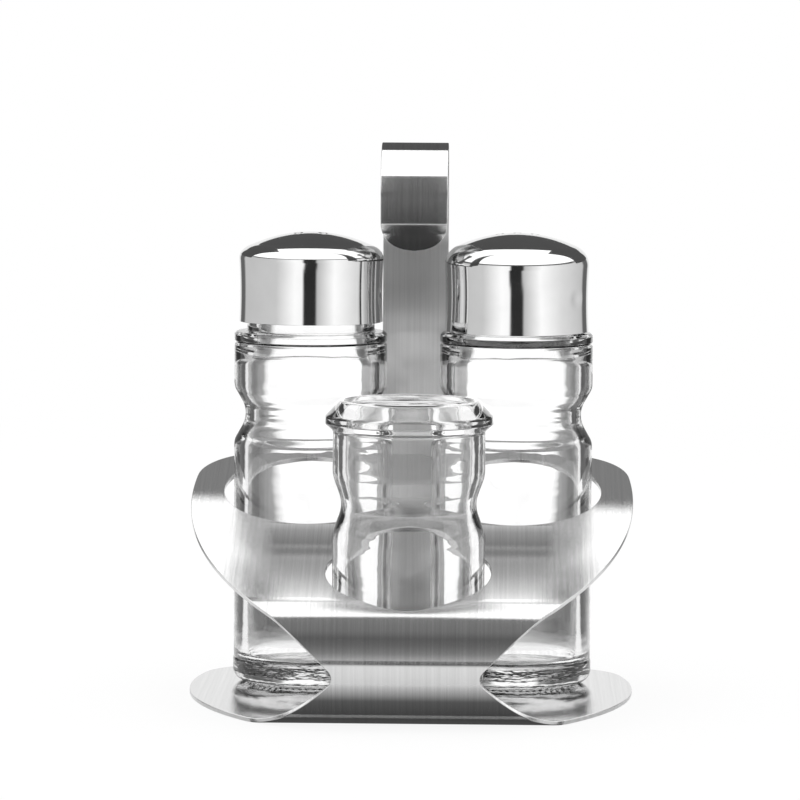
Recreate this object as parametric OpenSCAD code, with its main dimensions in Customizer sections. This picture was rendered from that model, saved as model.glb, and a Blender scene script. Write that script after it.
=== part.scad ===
// Condiment set for the table: a stand bent from one piece of sheet steel,
// with a curled carrying strip, two glass shakers with domed steel caps,
// and an open glass for toothpicks that stands in front of them.
// All lengths are in millimetres. The part stands on z = 0, its front faces
// negative y, and the origin is under the middle of its bounding box.

/* [Stand sheet] */
// Rim of the top plate beside a shaker hole
side_rim = 7.5; // [5:0.1:12]
// Depth of the stand, from the front of the bend to the back of the handle
stand_depth = 96.3; // [94:0.1:110]
// Thickness of the sheet
sheet_t = 1; // [0.6:0.1:1.5]
// Outer radius of the front bend
bend_r = 14.8; // [13:0.1:16]
// Slope of the top plate, rising towards the back, in degrees
plate_slope = 16; // [13:0.1:17]
// Width of the sheet at its waist, in the middle of the bend
waist_w = 33.2; // [28:0.2:40]
// Turn of the bend, counted up from the base, where the waist is narrowest
waist_turn = 79; // [74:1:86]
// Slant of the notch sides against the run of the sheet, in degrees
notch_slant = 45; // [40:1:50]
// Radius in the bottom of each notch
notch_r = 2.5; // [1.5:0.1:4]
// Radius where a notch runs out into the side of a plate
shoulder_r = 16; // [10:1:20]
// Radius of the back corners of both plates
corner_r = 16; // [8:0.5:20]

/* [Plate sides] */
// Radius of the top plate's curved sides
top_side_r = 124; // [110:1:150]
// Distance along the sheet from the waist to the top plate's widest place
top_widest = 83; // [78:1:90]
// Radius of the base plate's curved sides
base_side_r = 84; // [76:1:100]
// Distance along the sheet from the waist to the base plate's widest place
base_widest = 70; // [64:1:76]
// Rim of the top plate behind the shaker holes
back_rim = 2.1; // [1.5:0.1:4]

/* [Handle strip] */
// Width of the handle strip
strip_w = 15.8; // [14:0.1:16]
// Thickness of the handle strip
strip_t = 1.2; // [0.8:0.1:1.6]
// Height of the handle above the table
handle_h = 129; // [125:0.5:145]
// Outer radius of the curl at the top of the handle
curl_r = 14.6; // [12:0.1:16]
// Drop of the curl's end below the height of its centre, in degrees
curl_drop = 45.5; // [30:0.5:60]
// Length of the strip's foot on the base plate, from the handle's back
foot_l = 13.8; // [11:0.2:14]
// Inner radius of the bend between the strip and its foot
foot_bend_r = 2; // [1:0.1:3]
// Radius of the foot's front corners
foot_corner_r = 3; // [1:0.5:5]
// Gap between the strip and the back edge of the top plate
strip_gap = 0.1; // [0.05:0.05:0.3]

/* [Shaker glasses] */
// Distance between the axes of the two shakers
shaker_pitch = 48.75; // [48:0.05:50]
// Radius of the shaker's body
shaker_r = 18.1; // [17:0.1:18.4]
// Free space between a shaker's body and its hole
hole_clear = 2.3; // [2.1:0.05:2.5]
// Height of the shaker glass from its foot to the top of its shoulder ring
shaker_shoulder_h = 83.5; // [78:0.1:88]
// Height of the ring round the shoulder
shoulder_ring_h = 2.5; // [1.5:0.1:4]
// Depth of the fine line under the shoulder ring
ring_line_d = 0.5; // [0.2:0.1:0.8]
// How far the foot ring stands out from the body
foot_ring_out = 0.15; // [0.05:0.05:0.3]
// Height of the foot ring
foot_ring_h = 5.6; // [4:0.1:8]
// Rounding under the foot ring
shaker_foot_round = 2.8; // [2:0.1:4]
// Height of the middle of the finger groove above the foot
groove_h = 64; // [60:0.5:70]
// Depth of the finger groove
groove_d = 2.6; // [1.5:0.1:3]
// Height of the finger groove from edge to edge
groove_w = 11.6; // [9:0.2:14]
// Wall of the shaker glass
shaker_wall = 3.2; // [2.5:0.1:4]
// Wall of the shaker glass behind its finger groove
groove_wall = 2.6; // [2:0.1:3.2]
// Glass under the shaker's cavity
shaker_floor = 4.8; // [3.5:0.1:7]
// Outer radius of the neck under the cap
neck_r = 15.1; // [14.5:0.1:15.3]
// Height of the neck above the shoulder
neck_h = 14.9; // [12:0.1:16]
// Radius of the opening in the neck
neck_bore_r = 12.4; // [10:0.1:13]

// Height of the middle of the thread above the shoulder
thread_h = 11.5; // [10:0.1:12.5]
// Half the height of a thread ridge
thread_r = 0.9; // [0.6:0.1:1]
// Tilt of a thread ridge, in degrees
thread_tilt = 4; // [2:0.5:6]
// Half the gap between the ends of the two ridges, in degrees
thread_gap = 14; // [12:1:20]

/* [Shaker caps] */
// Outer radius of the cap at its lower edge
cap_r = 17.1; // [16.6:0.1:17.4]
// Height of the cap's top above the shoulder ring
cap_top_h = 23.6; // [22:0.1:26]
// Gap between the shoulder ring and the edge of the right cap
cap_gap = 0.4; // [0.3:0.1:1]
// How much shorter the skirt of the left cap is
left_skirt_short = 1.9; // [0:0.1:3]
// Thickness of the cap's metal
cap_t = 0.5; // [0.4:0.05:0.7]
// How far the cap's sides are drawn in at mid height
cap_waist_d = 0.25; // [0.1:0.05:0.5]
// Radius of the edge between the cap's side and its dome
cap_edge_r = 3.4; // [2.5:0.1:4.5]
// Rise of the dome from its edge to its middle
dome_rise = 2.9; // [2:0.1:4]
// Height of the dimples above the edge of the right cap
dimple_h = 8.3; // [7:0.1:10]
// Depth of a dimple in the outside of the cap
dimple_d = 0.7; // [0.4:0.05:0.8]
// Radius of the punch that made the dimples
dimple_r = 2; // [1.5:0.1:3]
// Turn of the left cap's dimples from the front, in degrees
left_dimple_turn = 80; // [0:1:180]
// Turn of the right cap's dimples from the front, in degrees
right_dimple_turn = 56; // [0:1:180]
// Radius of a sprinkling hole
sprinkle_r = 0.9; // [0.6:0.1:1.2]
// Distance between the sprinkling holes in a row
sprinkle_pitch = 4.1; // [3:0.1:5]

/* [Toothpick glass] */
// Radius of the toothpick glass at its body
pick_r = 17.35; // [16.5:0.05:17.6]
// Free space between the toothpick glass and its hole
pick_hole_clear = 1.55; // [1.3:0.05:1.8]
// How far the glass stands behind the middle of its hole
pick_set_back = 1; // [0:0.1:1]
// Height of the toothpick glass
pick_h = 71.3; // [68:0.1:76]
// Radius of the lip's edge
lip_r = 19.25; // [18.5:0.05:20]
// Height of the lip's edge above the foot, at its middle
lip_edge_h = 66.9; // [64:0.1:70]
// Height of the upright band on the lip's edge
lip_band_h = 1.6; // [1:0.1:2.5]
// Height of the slope under the lip's edge
lip_under_h = 1.3; // [0.8:0.1:2]
// Radius of the rim at the top of the lip
rim_r = 15.9; // [15.5:0.1:16.5]
// Rounding of the rim
rim_round = 0.7; // [0.4:0.1:0.9]
// Height of the middle of the toothpick glass's groove above the foot
pick_groove_h = 47.5; // [44:0.5:50]
// Depth of that groove
pick_groove_d = 1.8; // [1:0.1:2.4]
// Height of that groove from edge to edge
pick_groove_w = 12.4; // [9:0.2:14]
// How far the swell under the groove stands out from the body
pick_swell = 0.3; // [0.1:0.05:0.4]
// Height of that swell
pick_swell_h = 5; // [3:0.5:8]
// Wall of the toothpick glass
pick_wall = 2.9; // [2:0.1:3.5]
// Glass under the toothpick glass's cavity
pick_floor = 6; // [4:0.1:9]
// Rounding under the toothpick glass
pick_foot_round = 6.5; // [5:0.1:7]
// Space between the edge of the flat foot and the start of the bend
pick_foot_gap = 0.5; // [0.3:0.05:0.7]

/* [Hidden] */
$fn = 96;

steel = [0.78, 0.79, 0.80];
polished_steel = [0.86, 0.87, 0.88];
clear_glass = [0.80, 0.90, 0.92, 0.45];

// Steps of the computed outlines
bend_steps = 60;
arc_steps = 14;
// Overrun of every cut beyond the surface that it opens
overrun = 1;
// The plates join the bend by short tongues, and the bend's faces stand this
// little proud of the plates' faces, so that no two faces nearly coincide
tongue = sheet_t / 10;
seam = sheet_t / 500;

// Places along the depth of the stand
back_y = stand_depth / 2;
bend_y = bend_r - stand_depth / 2;
top_back_y = back_y - strip_t - strip_gap;
hole_r = shaker_r + hole_clear;
shaker_y = top_back_y - hole_r - back_rim;
// Both plates are as wide as the shakers' holes and their rims need
plate_w = shaker_pitch + 2 * (hole_r + side_rim);
pick_foot_r = pick_r - pick_foot_round;
pick_y = bend_y + pick_foot_r + pick_foot_gap;
pick_hole_r = pick_r + pick_hole_clear;
pick_hole_y = pick_y - pick_set_back;

// The bend turns the sheet over until it has the slope of the top plate
bend_turn = 180 - plate_slope;
function run_of(turn) = bend_r * turn * PI / 180;
bend_run = run_of(bend_turn);
waist_run = run_of(waist_turn);
// The line where the bend runs out into the top plate, on its upper face
top_line_y = bend_y - bend_r * sin(plate_slope);
top_line_z = bend_r + bend_r * cos(plate_slope);
// Distances along the sheet from the waist to the ends of both plates
base_flat_at = waist_run;
base_end_at = waist_run + back_y - bend_y;
top_flat_at = bend_run - waist_run;
top_end_at = top_flat_at + (top_back_y - top_line_y) / cos(plate_slope);

// Points on an arc with centre c and radius r, from angle a to angle b
function arc(c, r, a, b, steps = arc_steps) = [
    for (i = [0:steps])
        let (t = a + (b - a) * i / steps)
        [c[0] + r * cos(t), c[1] + r * sin(t)]
];

// Half of the sheet's width at a distance d along it from the waist. The
// notch has a round bottom and straight slanting sides, and a shoulder arc
// leads from there into the long arc of a plate's side.
notch_end = notch_r * cos(notch_slant);
notch_lift = notch_r - notch_r * sin(notch_slant);
function notch_half(d) = d < notch_end
    ? waist_w / 2 + notch_r - sqrt(notch_r * notch_r - d * d)
    : waist_w / 2 + notch_lift + (d - notch_end) * tan(notch_slant);
function side_half(d, side_r, widest) =
    plate_w / 2 - side_r + sqrt(side_r * side_r - (widest - d) * (widest - d));

// Centre of the shoulder arc: shoulder_r inside the slanting side, and
// shoulder_r inside the side arc. x is the distance along the sheet and
// y the half width.
slant_start = waist_w / 2 + notch_lift - notch_end * tan(notch_slant);
slant_in = shoulder_r / cos(notch_slant);
function shoulder_centre(side_r, widest) =
    let (
        m = tan(notch_slant),
        k = slant_start - slant_in - (plate_w / 2 - side_r),
        a = 1 + m * m,
        b = m * k - widest,
        c = widest * widest + k * k - (side_r - shoulder_r) * (side_r - shoulder_r),
        d = (-b + sqrt(b * b - a * c)) / a
    )
    [d, slant_start - slant_in + m * d];
function shoulder_half(d, centre) =
    centre[1] + sqrt(max(0, shoulder_r * shoulder_r - (d - centre[0]) * (d - centre[0])));
// The shoulder arc leaves the slant and meets the side arc at these places
function slant_end(centre) = centre[0] - shoulder_r * sin(notch_slant);
function side_start(centre, side_r, widest) =
    let (
        from = [widest, plate_w / 2 - side_r],
        way = centre - from
    )
    centre[0] + shoulder_r * way[0] / norm(way);

function half_width(d, side_r, widest) =
    let (centre = shoulder_centre(side_r, widest))
    d < slant_end(centre) ? notch_half(d)
    : d < side_start(centre, side_r, widest) ? shoulder_half(d, centre)
    : side_half(d, side_r, widest);

// One side of a plate's outline from the edge of its bend to the middle of
// its straight back edge, with a round corner between side and back
function plate_side(from, to, side_r, widest) =
    let (
        side_y = plate_w / 2 - side_r,
        corner_x = to - corner_r,
        reach = side_r - corner_r,
        corner_y = side_y + sqrt(reach * reach - (corner_x - widest) * (corner_x - widest)),
        tilt = atan2(corner_y - side_y, corner_x - widest),
        meet = corner_x + corner_r * cos(tilt)
    )
    concat(
        [for (i = [0:2 * arc_steps])
            let (d = from + (meet - from) * i / (2 * arc_steps))
            [d, half_width(d, side_r, widest)]],
        [for (i = [1:arc_steps])
            let (t = tilt * (1 - i / arc_steps))
            [corner_x + corner_r * cos(t), corner_y + corner_r * sin(t)]]
    );

// A flat plate in its own plane: x across, y away from the waist, measured
// from the line where the bend ends. A short tongue, a little narrower than
// the bend, reaches into the end of the bend.
module plate_outline(from, to, side_r, widest) {
    side = plate_side(from, to, side_r, widest);
    last = len(side) - 1;
    tongue_half = side[0][1] - 2 * tongue;
    polygon(concat(
        [[-tongue_half, -tongue], [tongue_half, -tongue]],
        [for (i = [1:last]) [side[i][1], side[i][0] - from]],
        [for (i = [last:-1:1]) [-side[i][1], side[i][0] - from]]
    ));
}

// Half the sheet's width at a place of the bend, counted up from the base
function bend_half(run) = run < waist_run
    ? half_width(waist_run - run, base_side_r, base_widest)
    : half_width(run - waist_run, top_side_r, top_widest);

// The bend is a stretch of tube, trimmed to the sheet's outline by a blank
// that is thicker than the sheet. The blank has a ring of four points at each
// step of the turn: outer left, outer right, inner right and inner left.
module bend_blank() {
    ring = [for (i = [0:bend_steps])
        let (turn = bend_turn * i / bend_steps)
        [bend_half(run_of(turn)), turn]];
    points = [for (p = ring)
        for (corner = [[-1, 1], [1, 1], [1, -1], [-1, -1]])
            let (r = bend_r - sheet_t / 2 + corner[1] * (sheet_t / 2 + overrun))
            [corner[0] * p[0], bend_y - r * sin(p[1]), bend_r - r * cos(p[1])]];
    sides = [for (i = [0:bend_steps - 1])
        for (k = [0:3])
            let (a = 4 * i + k, b = 4 * i + (k + 1) % 4)
            each [[a, b + 4, b], [a, a + 4, b + 4]]];
    last = 4 * bend_steps;
    ends = [[0, 1, 2], [0, 2, 3], [last, last + 2, last + 1], [last, last + 3, last + 2]];
    polyhedron(points = points, faces = concat(sides, ends));
}
module bent_sheet() {
    intersection() {
        translate([0, bend_y, bend_r])
            rotate([0, 90, 0])
                difference() {
                    cylinder(r = bend_r + seam, h = 2 * plate_w, center = true);
                    cylinder(r = bend_r - sheet_t - seam, h = 3 * plate_w, center = true);
                }
        bend_blank();
    }
}

// The holes are round as seen from above, so that glasses stand upright in
// the sloping plate
module plate_holes() {
    hole_top = top_line_z + stand_depth;
    for (side = [-1, 1])
        translate([side * shaker_pitch / 2, shaker_y, bend_r])
            cylinder(r = hole_r, h = hole_top);
    translate([0, pick_hole_y, bend_r])
        cylinder(r = pick_hole_r, h = hole_top);
}

module stand_sheet() {
    color(steel)
    difference() {
        union() {
            translate([0, bend_y, 0])
                linear_extrude(sheet_t)
                    plate_outline(base_flat_at, base_end_at, base_side_r, base_widest);
            bent_sheet();
            translate([0, bend_y, bend_r])
                rotate([plate_slope, 0, 0])
                    translate([0, 0, bend_r - sheet_t])
                        linear_extrude(sheet_t)
                            plate_outline(top_flat_at, top_end_at, top_side_r, top_widest);
        }
        plate_holes();
    }
}

// Side view of the strip, x along the depth and y up: a flat foot, a small
// bend, the upright and the curl. The curl runs from the upright over the top
// and down at the front, and its turn is counted from the back.
curl_y = back_y - curl_r;
curl_z = handle_h - curl_r;
foot_z = sheet_t;
foot_bend_out = foot_bend_r + strip_t;
module sector(r, from, to) {
    polygon(concat([[0, 0]], arc([0, 0], 2 * r, from, to, 4)));
}
module ring(outer, t) {
    difference() {
        circle(outer);
        circle(outer - t);
    }
}
module curl_side(from, to) {
    translate([curl_y, curl_z])
        intersection() {
            ring(curl_r, strip_t);
            sector(curl_r, from, to);
        }
}
module strip_side() {
    translate([back_y - foot_l, foot_z])
        square([foot_l - foot_bend_out, strip_t]);
    translate([back_y - foot_bend_out, foot_z + foot_bend_out])
        intersection() {
            ring(foot_bend_out, strip_t);
            translate([0, -foot_bend_out])
                square(foot_bend_out);
        }
    translate([back_y - strip_t, foot_z + foot_bend_out])
        square([strip_t, curl_z - foot_z - foot_bend_out]);
}
module across_strip() {
    rotate([90, 0, 90])
        translate([0, 0, -strip_w / 2])
            linear_extrude(strip_w)
                children();
}

// The foot's front corners are round in plan
module foot_plan() {
    translate([-strip_w / 2, foot_corner_r])
        square([strip_w, foot_l]);
    translate([foot_corner_r - strip_w / 2, 0])
        square([strip_w - 2 * foot_corner_r, foot_l]);
    for (side = [-1, 1])
        translate([side * (strip_w / 2 - foot_corner_r), foot_corner_r])
            circle(foot_corner_r);
}

// What is cut away round the end of the curl. It is drawn on a plane that
// stands square to the strip in the middle of the round, and the round is a
// hair wider than the strip, so that it cuts both edges cleanly.
end_span = asin(strip_w / 4 / curl_r) * 2;
end_middle = curl_drop - end_span / 2;
end_ease = tongue / 5;
module round_end_cut() {
    translate([0, curl_y, curl_z])
        rotate([end_middle, 0, 0])
            translate([0, 0, curl_r * sin(end_span / 2)])
                rotate([90, 0, 0])
                    linear_extrude(2 * curl_r)
                        difference() {
                            translate([-strip_w, -strip_w])
                                square([2 * strip_w, strip_w]);
                            circle(strip_w / 2 + end_ease);
                        }
}
module handle_strip() {
    color(steel)
    difference() {
        union() {
            intersection() {
                across_strip() strip_side();
                translate([0, back_y - foot_l, 0])
                    linear_extrude(handle_h)
                        foot_plan();
            }
            across_strip() curl_side(0, 180 + curl_drop + end_span);
        }
        round_end_cut();
    }
}

// Radius of the arc that cuts a groove of depth d and height w
function groove_arc(d, w) = (w * w / 4 + d * d) / (2 * d);

// Outside of a shaker glass as a half section, x from the axis and y up
cavity_r = shaker_r - shaker_wall;
foot_ring_r = shaker_r + foot_ring_out;
neck_top_h = shaker_shoulder_h + neck_h;
shoulder_ring_at = shaker_shoulder_h - shoulder_ring_h;
module shaker_outside() {
    cut_r = groove_arc(groove_d, groove_w);
    difference() {
        union() {
            translate([0, shaker_foot_round])
                square([shaker_r, shaker_shoulder_h - 2 * shaker_foot_round]);
            square([foot_ring_r - shaker_foot_round, shaker_foot_round]);
            translate([0, shaker_foot_round])
                square([foot_ring_r, foot_ring_h - shaker_foot_round]);
            translate([foot_ring_r - shaker_foot_round, shaker_foot_round])
                circle(shaker_foot_round);
            translate([0, shoulder_ring_at])
                polygon([
                    [0, 0], [shaker_r, 0], [shaker_r, shoulder_ring_h - ring_line_d],
                    [shaker_r - ring_line_d, shoulder_ring_h], [0, shoulder_ring_h]
                ]);
            square([neck_r, neck_top_h]);
        }
        translate([shaker_r - groove_d + cut_r, groove_h])
            circle(cut_r);
        translate([shaker_r, shoulder_ring_at])
            rotate(45)
                square(ring_line_d * sqrt(2), center = true);
    }
}
// The cavity is straight, drawn in behind the groove and again to the neck
cavity_neck_h = shaker_shoulder_h - shaker_wall;
module shaker_inside() {
    groove_r = shaker_r - groove_d - groove_wall;
    swell_cut_r = groove_arc(cavity_r - groove_r, groove_w);
    difference() {
        translate([0, shaker_floor])
            polygon(concat(
                [[0, 0]],
                arc([cavity_r - shaker_foot_round, shaker_foot_round],
                    shaker_foot_round, -90, 0),
                [
                    [cavity_r, cavity_neck_h - shaker_floor],
                    [neck_bore_r, shaker_shoulder_h - shaker_floor],
                    [neck_bore_r, neck_top_h - shaker_floor + overrun],
                    [0, neck_top_h - shaker_floor + overrun]
                ]
            ));
        translate([groove_r + swell_cut_r, groove_h])
            circle(swell_cut_r);
    }
}
// The glass thread: a ridge round each half of the neck, tilted so that it
// rises from end to end, with gaps where the cap's dimples drop in
module thread(turn) {
    for (half = [0, 180])
        rotate([0, 0, turn + half])
            translate([0, 0, shaker_shoulder_h + thread_h])
                rotate([thread_tilt, 0, 0])
                    rotate([0, 0, thread_gap - 90])
                        rotate_extrude(angle = 180 - 2 * thread_gap)
                            translate([neck_r - thread_r / 4, 0])
                                circle(thread_r);
}
module shaker_glass(side, turn) {
    color(clear_glass)
    translate([side * shaker_pitch / 2, shaker_y, sheet_t]) {
        rotate_extrude()
            difference() {
                intersection() {
                    shaker_outside();
                    square([2 * shaker_r, neck_top_h]);
                }
                shaker_inside();
            }
        thread(turn);
    }
}
module shaker_glass_left() shaker_glass(-1, left_dimple_turn);
module shaker_glass_right() shaker_glass(1, right_dimple_turn);

// Cap section, x from the axis and y up from the shoulder ring. The outer
// face is drawn with inset 0 and the inner face with the metal's thickness.
cap_edge_z = cap_top_h - dome_rise;
module cap_half(inset, low) {
    side_mid = (cap_gap + cap_edge_z - cap_edge_r) / 2;
    waist_r = groove_arc(cap_waist_d, cap_edge_z - cap_edge_r - cap_gap);
    edge_centre = [cap_r - cap_edge_r, cap_edge_z - cap_edge_r];
    dome_r = (dome_rise * dome_rise + edge_centre[0] * edge_centre[0]) / (2 * dome_rise);
    dome_half = asin(edge_centre[0] / dome_r);
    difference() {
        polygon(concat(
            [[0, low], [cap_r - inset, low]],
            arc(edge_centre, cap_edge_r - inset, 0, 90 - dome_half),
            arc([0, cap_top_h - dome_r], dome_r - inset, 90 - dome_half + overlap_turn, 90)
        ));
        translate([cap_r - cap_waist_d + waist_r - inset, side_mid])
            circle(waist_r);
    }
}
// A small turn that keeps the first point of the dome off the edge's last
overlap_turn = 1;
module dimple_places(turn) {
    for (half = [0, 180])
        rotate([0, 0, turn + half - 90])
            children();
}
module shaker_cap(side, turn, short) {
    low = cap_gap + short;
    top_h = cap_top_h + overrun;
    dent_out = cap_r - cap_waist_d - dimple_d + dimple_r;
    color(polished_steel)
    translate([side * shaker_pitch / 2, shaker_y, sheet_t + shaker_shoulder_h])
        difference() {
            union() {
                difference() {
                    rotate_extrude() cap_half(0, low);
                    rotate_extrude() cap_half(cap_t, low - overrun);
                }
                // The metal pushed in by the punch
                dimple_places(turn)
                    intersection() {
                        translate([dent_out, 0, cap_gap + dimple_h])
                            sphere(r = dimple_r + cap_t);
                        translate([0, 0, low])
                            cylinder(r = cap_r - cap_waist_d - cap_t / 2, h = cap_edge_z - low);
                    }
            }
            dimple_places(turn)
                translate([dent_out, 0, cap_gap + dimple_h])
                    sphere(r = dimple_r);
            translate([0, 0, cap_top_h / 2])
                if (side > 0)
                    for (i = [-1:1])
                        translate([i * sprinkle_pitch, 0, 0])
                            cylinder(r = sprinkle_r, h = top_h);
                else
                    for (i = [0:3])
                        rotate([0, 0, 45 + 90 * i])
                            translate([sprinkle_pitch, 0, 0])
                                cylinder(r = sprinkle_r, h = top_h);
        }
}
module shaker_cap_left() shaker_cap(-1, left_dimple_turn, left_skirt_short);
module shaker_cap_right() shaker_cap(1, right_dimple_turn, 0);

// Toothpick glass as a half section, x from the axis and y up
pick_cavity_r = pick_r - pick_wall;
module toothpick_outside() {
    cut_r = groove_arc(pick_groove_d + pick_swell, pick_groove_w);
    swell_r = pick_r + pick_swell;
    swell_top = pick_groove_h;
    swell_low = swell_top - pick_groove_w / 2 - pick_swell_h;
    band_low = lip_edge_h - lip_band_h / 2;
    difference() {
        polygon(concat(
            [[0, 0]],
            arc([pick_foot_r, pick_foot_round], pick_foot_round, -90, 0),
            [
                [pick_r, swell_low - pick_swell_h],
                [swell_r, swell_low + pick_swell_h],
                [swell_r, swell_top],
                [pick_r, swell_top + pick_groove_w / 2],
                [pick_r, band_low - lip_under_h],
                [lip_r, band_low],
                [lip_r, band_low + lip_band_h]
            ],
            arc([rim_r - rim_round, pick_h - rim_round], rim_round, 45, 90),
            [[0, pick_h]]
        ));
        translate([pick_r - pick_groove_d + cut_r, pick_groove_h])
            circle(cut_r);
    }
}
module toothpick_inside() {
    groove_r = pick_cavity_r - pick_groove_d / 2;
    swell_cut_r = groove_arc(pick_cavity_r - groove_r, pick_groove_w);
    difference() {
        translate([0, pick_floor])
            polygon(concat(
                [[0, 0]],
                arc([pick_cavity_r - pick_foot_round, pick_foot_round],
                    pick_foot_round, -90, 0),
                [
                    [pick_cavity_r, pick_h - pick_floor + overrun],
                    [0, pick_h - pick_floor + overrun]
                ]
            ));
        translate([groove_r + swell_cut_r, pick_groove_h])
            circle(swell_cut_r);
    }
}
module toothpick_glass() {
    color(clear_glass)
    translate([0, pick_y, sheet_t])
        rotate_extrude()
            difference() {
                toothpick_outside();
                toothpick_inside();
            }
}

stand_sheet();
handle_strip();
shaker_glass_left();
shaker_glass_right();
shaker_cap_left();
shaker_cap_right();
toothpick_glass();
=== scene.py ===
import math

import bpy
from mathutils import Matrix, Vector
from mathutils.geometry import delaunay_2d_cdt


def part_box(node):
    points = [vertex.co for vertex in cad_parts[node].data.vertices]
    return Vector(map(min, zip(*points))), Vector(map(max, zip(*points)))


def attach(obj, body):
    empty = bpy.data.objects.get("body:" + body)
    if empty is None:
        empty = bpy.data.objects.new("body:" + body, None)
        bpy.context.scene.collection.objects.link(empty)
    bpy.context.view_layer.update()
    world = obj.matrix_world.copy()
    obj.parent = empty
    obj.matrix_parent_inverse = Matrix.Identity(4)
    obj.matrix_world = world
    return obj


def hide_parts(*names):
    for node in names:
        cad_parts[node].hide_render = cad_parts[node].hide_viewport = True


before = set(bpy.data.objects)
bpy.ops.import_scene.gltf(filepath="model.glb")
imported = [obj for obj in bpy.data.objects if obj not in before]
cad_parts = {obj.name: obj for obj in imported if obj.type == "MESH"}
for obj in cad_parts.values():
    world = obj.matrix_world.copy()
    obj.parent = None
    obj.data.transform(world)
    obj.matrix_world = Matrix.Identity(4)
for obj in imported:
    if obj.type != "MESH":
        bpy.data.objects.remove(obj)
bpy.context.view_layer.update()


# Camera
# The photograph was taken with a long lens from a little above the glasses,
# almost square to the front of the set.
mm = 0.001
photo_width_px = 800
focal_px = 4500
sensor_width = 36
camera_place = Vector((20.2735, -1039.725, 161.8045)) * mm
camera_yaw = -0.0220087
camera_pitch = 0.0877093
camera_roll = 0.0059672

ahead = Vector((
    math.sin(camera_yaw) * math.cos(camera_pitch),
    math.cos(camera_yaw) * math.cos(camera_pitch),
    -math.sin(camera_pitch),
))
level_right = Vector((math.cos(camera_yaw), -math.sin(camera_yaw), 0))
level_up = level_right.cross(ahead)
right = math.cos(camera_roll) * level_right + math.sin(camera_roll) * level_up
up = math.cos(camera_roll) * level_up - math.sin(camera_roll) * level_right
lens = bpy.data.cameras.new("photo_lens")
lens.sensor_width = sensor_width
lens.lens = focal_px / photo_width_px * sensor_width
lens.clip_start = 50 * mm
lens.clip_end = 20
camera = bpy.data.objects.new("photo_camera", lens)
aim = Matrix((right, up, -ahead)).transposed().to_4x4()
camera.matrix_world = Matrix.Translation(camera_place) @ aim
bpy.context.scene.collection.objects.link(camera)
bpy.context.scene.camera = camera
bpy.context.scene.view_settings.view_transform = "Standard"


# White studio
# A white table and backdrop, a bright ceiling of diffusion cloth, a tall lamp
# on each side of the camera and dark stands between them. Steel and glass get
# their bright and dark bands from these, and from cards close to the set that
# add painted reflections and painted contact shadow.
def shader_tree(data, node_type="ShaderNodeOutputMaterial"):
    data.use_nodes = True
    tree = data.node_tree
    tree.nodes.clear()
    return tree, tree.nodes.new(node_type)


def add_node(tree, kind, settings=None, **inputs):
    node = tree.nodes.new("ShaderNode" + kind)
    for name, value in (settings or {}).items():
        setattr(node, name, value)
    for name, value in inputs.items():
        key = int(name[1:]) if name[0] == "_" and name[1:].isdigit() else name.replace("_", " ")
        socket = node.inputs[key]
        if isinstance(value, bpy.types.NodeSocket):
            tree.links.new(value, socket)
        else:
            socket.default_value = value
    return node


def add_math(tree, operation, first, second=0.0, clamp=False):
    settings = {"operation": operation, "use_clamp": clamp}
    return add_node(tree, "Math", settings, _0=first, _1=second).outputs[0]


def grey(value):
    return (value, value, value, 1)


def add_ramp(tree, factor, stops):
    ramp = add_node(tree, "ValToRGB", Fac=factor)
    marks = ramp.color_ramp.elements
    while len(marks) < len(stops):
        marks.new(0.5)
    for mark, (place, colour) in zip(marks, stops):
        mark.position = place
        mark.color = grey(colour) if isinstance(colour, (int, float)) else colour
    return ramp.outputs["Color"]


def seen_or_reflected(tree):
    path = add_node(tree, "LightPath")
    seen = add_math(tree, "ADD", path.outputs["Is Camera Ray"], path.outputs["Is Glossy Ray"])
    return path, add_math(tree, "ADD", seen, path.outputs["Is Transmission Ray"], clamp=True)


def turn_stops(stops, brightest=1.0):
    return [(turn / 360 + 0.5, level / brightest) for turn, level in stops]


def turn_round(tree, axes):
    """Turn from the camera's side, as a share of the whole turn with the middle at 0.5."""
    turn = add_math(tree, "ARCTAN2", axes["X"], add_math(tree, "MULTIPLY", axes["Y"], -1.0))
    share = add_math(tree, "MULTIPLY_ADD", turn, 1 / (2 * math.pi))
    share.node.inputs[2].default_value = 0.5
    return share


# Brightness round the horizon, by the turn from the camera's side in degrees,
# to the left below zero
brightest_lamp = 1.4
horizon_stops = [
    (-180, 1.0), (-156, 1.0), (-150, 0.16), (-134, 0.16), (-128, 0.72), (-56, 0.80),
    (-24, 1.40), (-12, 1.35), (-9, 0.035), (9, 0.035), (12, 0.70), (40, 1.40),
    (78, 1.0), (128, 0.72), (134, 0.16), (150, 0.16), (156, 1.0), (180, 1.0),
]
# Seen through the glass, the backdrop is a white sheet between two grey stands
through_stops = [
    (-180, 1.0), (-169.5, 1.0), (-167.5, 0.26), (-160, 0.06), (-134, 0.04),
    (-130, 0.80), (-90, 0.85), (0, 0.85), (90, 0.85), (130, 0.80),
    (134, 0.04), (160, 0.06), (167.5, 0.26), (169.5, 1.0), (180, 1.0),
]
through_white = 1.12
through_top = 0.60
backdrop_top = 0.30
over_backdrop_low = 0.42
lamp_top = math.sin(math.radians(15))
gap_low = math.sin(math.radians(17))
gap_high = math.sin(math.radians(21))
ceiling_low = math.sin(math.radians(23))
gap_dark = 0.12
gap_starts = 0.2
gap_whole = 0.5
sky_white = 1.75
room_light = 0.93

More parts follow.
